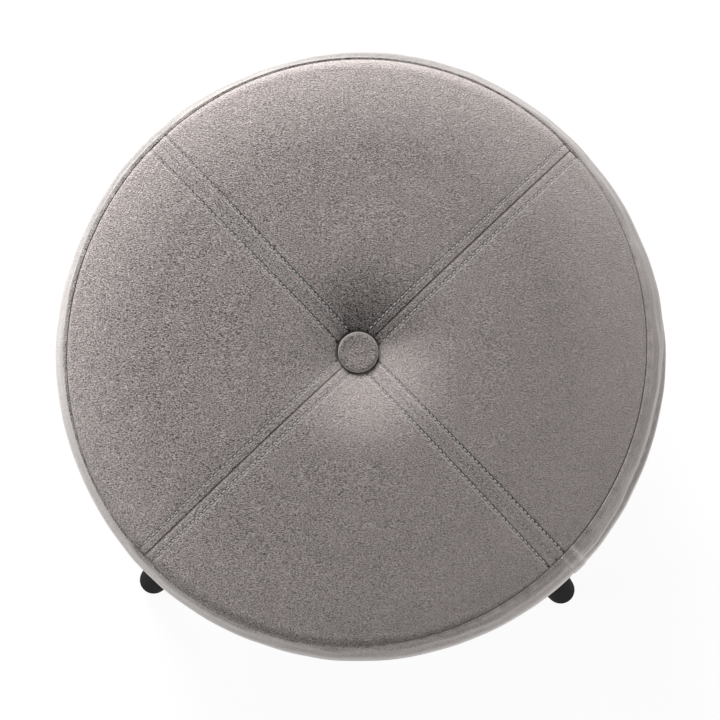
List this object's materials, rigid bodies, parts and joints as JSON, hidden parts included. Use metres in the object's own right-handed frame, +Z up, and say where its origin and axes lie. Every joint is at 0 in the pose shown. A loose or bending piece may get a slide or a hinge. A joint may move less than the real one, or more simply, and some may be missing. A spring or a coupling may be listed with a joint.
{
  "type": "storage ottoman",
  "caption": "Round velvet storage ottoman on splayed tapered legs, with a button-tufted lid that lifts off a lined drum.",
  "frame": {"origin": "on the floor, below the centre of the drum", "axes": "+Z up, +Y to the back of the pictured view, +X to its right; the legs stand on the diagonals"},
  "size_m": [0.4318, 0.4318, 0.4368],
  "materials": {
    "velvet": "matte",
    "plywood": "matte",
    "hardboard": "matte",
    "foam": "matte",
    "liner_board": "matte",
    "lining_cloth": "matte",
    "black_lacquered_wood": "satin",
    "black_steel": "satin",
    "zinc_steel": "satin",
    "staple_wire": "satin",
    "glide_nylon": "matte",
    "anchor_nylon": "matte",
    "twine": "matte"
  },
  "bodies": {
    "drum": {"base_board": "plywood", "rim_ring": "plywood", "post_1": "plywood", "post_2": "plywood", "post_3": "plywood", "post_4": "plywood", "post_5": "plywood", "post_6": "plywood", "frame_screws": "zinc_steel", "wall_panel": "hardboard", "drum_padding": "foam", "drum_cover_front": "velvet", "drum_cover_back": "velvet", "floor_liner": "liner_board", "storage_liner": "liner_board", "dust_cover": "lining_cloth", "dust_cover_staples": "staple_wire", "leg_1": "black_lacquered_wood", "leg_2": "black_lacquered_wood", "leg_3": "black_lacquered_wood", "leg_4": "black_lacquered_wood", "leg_plate_1": "black_steel", "leg_plate_2": "black_steel", "leg_plate_3": "black_steel", "leg_plate_4": "black_steel", "leg_bolt_1": "zinc_steel", "leg_bolt_2": "zinc_steel", "leg_bolt_3": "zinc_steel", "leg_bolt_4": "zinc_steel", "leg_plate_screws": "zinc_steel", "foot_glide_1": "glide_nylon", "foot_glide_2": "glide_nylon", "foot_glide_3": "glide_nylon", "foot_glide_4": "glide_nylon"},
    "lid": {"lid_board": "plywood", "lid_foam": "foam", "lid_panel_back": "velvet", "lid_panel_left": "velvet", "lid_panel_front": "velvet", "lid_panel_right": "velvet", "lid_boxing_front": "velvet", "lid_boxing_back": "velvet", "lid_plug": "plywood", "lid_lining": "lining_cloth", "plug_screws": "zinc_steel", "lid_staples": "staple_wire", "button_cover": "velvet", "button_shell": "zinc_steel", "button_back": "zinc_steel", "button_twine": "twine", "twine_anchor": "anchor_nylon"}
  },
  "joints": [
    {"name": "lid_lift", "type": "slide", "parent": "drum", "child": "lid", "axis": [0, 0, 1], "range_m": [0, 0.25]}
  ]
}
